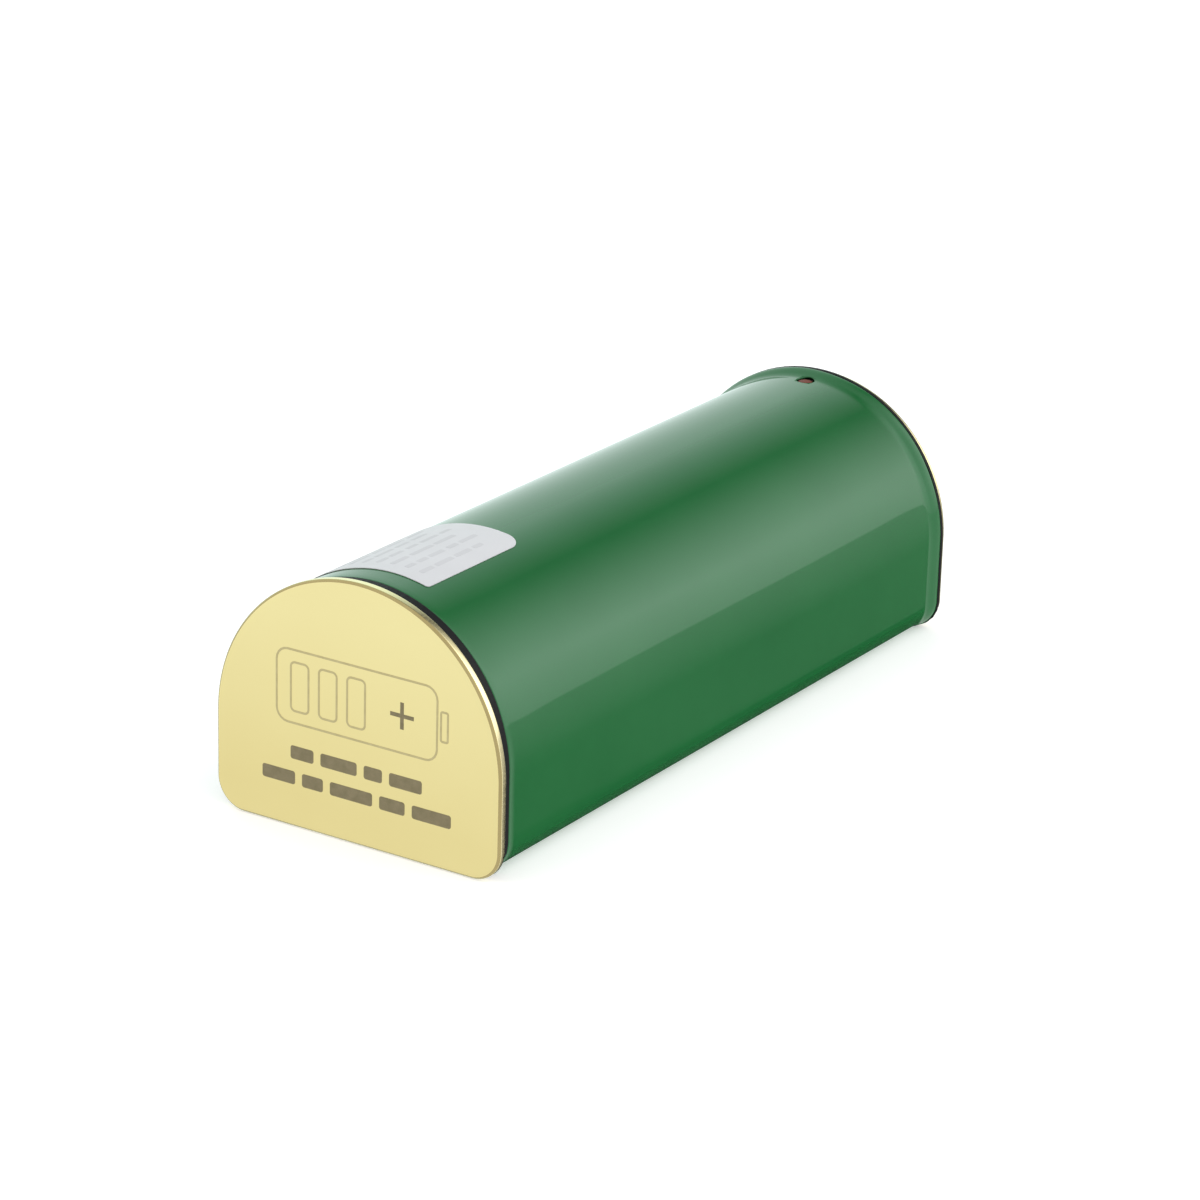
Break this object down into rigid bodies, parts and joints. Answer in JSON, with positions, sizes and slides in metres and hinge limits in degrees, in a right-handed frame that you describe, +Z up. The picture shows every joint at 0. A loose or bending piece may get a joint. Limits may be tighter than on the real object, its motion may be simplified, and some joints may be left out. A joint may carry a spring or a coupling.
{
  "type": "d-section rechargeable battery pack",
  "caption": "Arch-section sealed battery pack: round cells in a sleeved aluminium tube, a metal end plate terminal at each end, rating label and relief valve on the crown.",
  "frame": {"origin": "centre of the flat base, on the surface that the pack stands on", "axes": "+Y along the pack from its front (positive) end plate to its rear (negative) end plate, +Z up from the flat base to the crown, +X to the right seen from the front"},
  "size_m": [0.0562, 0.146, 0.0453],
  "materials": {
    "housing_aluminium": "satin",
    "green_sleeve": "gloss",
    "label_paper": "satin",
    "gold_plate": "satin",
    "black_plastic": "satin",
    "seal_rubber": "matte",
    "screw_steel": "satin",
    "stud_brass": "satin",
    "can_steel": "satin",
    "wound_core": "matte",
    "cap_nickel": "satin",
    "cell_wrap": "gloss",
    "holder_plastic": "matte",
    "strip_nickel": "satin",
    "fish_paper": "matte",
    "board_laminate": "satin",
    "chip_plastic": "matte",
    "lead_black": "satin",
    "lead_yellow": "satin",
    "lead_red": "satin",
    "valve_silicone": "satin"
  },
  "bodies": {
    "pack": {"housing_tube": "housing_aluminium", "shrink_sleeve": "green_sleeve", "spec_label": "label_paper", "front_end_plate": "gold_plate", "front_bulkhead": "black_plastic", "front_seal": "seal_rubber", "front_screw_left": "screw_steel", "front_screw_right": "screw_steel", "front_screw_top": "screw_steel", "front_terminal_stud": "stud_brass", "rear_end_plate": "gold_plate", "rear_bulkhead": "black_plastic", "rear_seal": "seal_rubber", "rear_screw_left": "screw_steel", "rear_screw_right": "screw_steel", "rear_screw_top": "screw_steel", "rear_terminal_stud": "stud_brass", "front_cell_left_can": "can_steel", "front_cell_left_core": "wound_core", "front_cell_left_cap": "cap_nickel", "front_cell_left_wrap": "cell_wrap", "front_cell_right_can": "can_steel", "front_cell_right_core": "wound_core", "front_cell_right_cap": "cap_nickel", "front_cell_right_wrap": "cell_wrap", "front_cell_top_can": "can_steel", "front_cell_top_core": "wound_core", "front_cell_top_cap": "cap_nickel", "front_cell_top_wrap": "cell_wrap", "rear_cell_left_can": "can_steel", "rear_cell_left_core": "wound_core", "rear_cell_left_cap": "cap_nickel", "rear_cell_left_wrap": "cell_wrap", "rear_cell_right_can": "can_steel", "rear_cell_right_core": "wound_core", "rear_cell_right_cap": "cap_nickel", "rear_cell_right_wrap": "cell_wrap", "rear_cell_top_can": "can_steel", "rear_cell_top_core": "wound_core", "rear_cell_top_cap": "cap_nickel", "rear_cell_top_wrap": "cell_wrap", "front_cell_holder": "holder_plastic", "front_nickel_strip": "strip_nickel", "middle_cell_holder": "holder_plastic", "middle_nickel_strip": "strip_nickel", "rear_cell_holder": "holder_plastic", "rear_nickel_strip": "strip_nickel", "front_insulator": "fish_paper", "rear_insulator": "fish_paper", "protection_board": "board_laminate", "switch_chip": "chip_plastic", "controller_chip": "chip_plastic", "cell_negative_lead": "lead_black", "pack_negative_lead": "lead_black", "midpoint_lead": "lead_yellow", "positive_sense_lead": "lead_red", "valve_seat": "stud_brass", "valve_spring": "screw_steel"},
    "valve": {"valve_poppet": "valve_silicone", "valve_retainer": "screw_steel"}
  },
  "joints": [
    {"name": "valve_lift", "type": "slide", "parent": "pack", "child": "valve", "axis": [0, 0, 1], "range_m": [0, 0.0006], "stiffness_N_per_m": 400, "springref_m": -0.002, "deforming": ["valve_spring"]}
  ]
}
